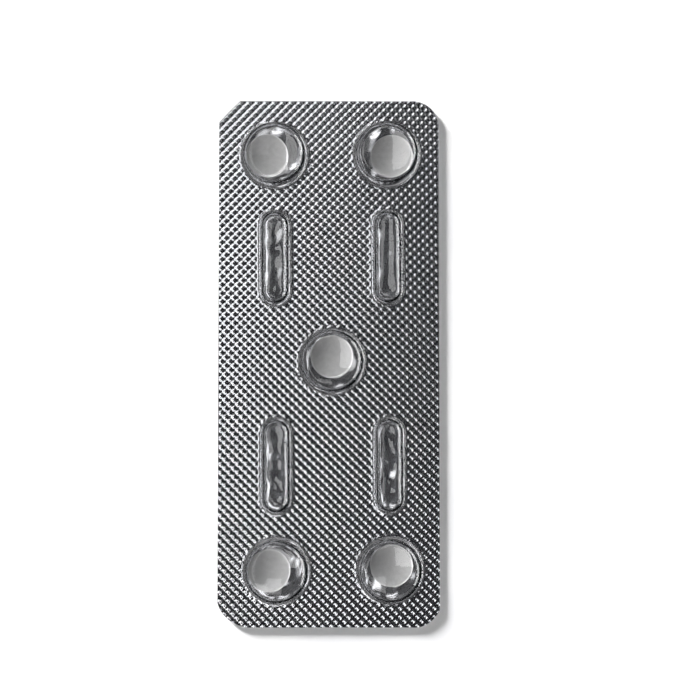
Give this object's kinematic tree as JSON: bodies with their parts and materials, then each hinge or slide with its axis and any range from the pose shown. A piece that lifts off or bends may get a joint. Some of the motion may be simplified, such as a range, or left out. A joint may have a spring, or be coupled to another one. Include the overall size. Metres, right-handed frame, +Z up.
{
  "type": "blister pack of tablets",
  "caption": "Clear thermoformed blister card with round pockets and long stiffening ribs, knurled aluminium lidding foil, and a loose round white tablet in each pocket.",
  "frame": {"origin": "middle of the foil's flat underside, on the surface that the card lies on", "axes": "+X across the card, +Y along it towards the end with the straight cut corner, +Z up out of the pockets"},
  "size_m": [0.0366, 0.0874, 0.0046],
  "materials": {
    "clear_film": "clear thermoformed film, high gloss",
    "foil": "knurled where it is sealed, mirror bright over the pockets",
    "tablet": "pressed white powder, matt"
  },
  "bodies": {
    "root": {"blister_film": "clear_film", "lidding_foil": "foil", "tablet_top_left": "tablet", "tablet_top_right": "tablet", "tablet_centre": "tablet", "tablet_bottom_left": "tablet", "tablet_bottom_right": "tablet"}
  },
  "joints": []
}
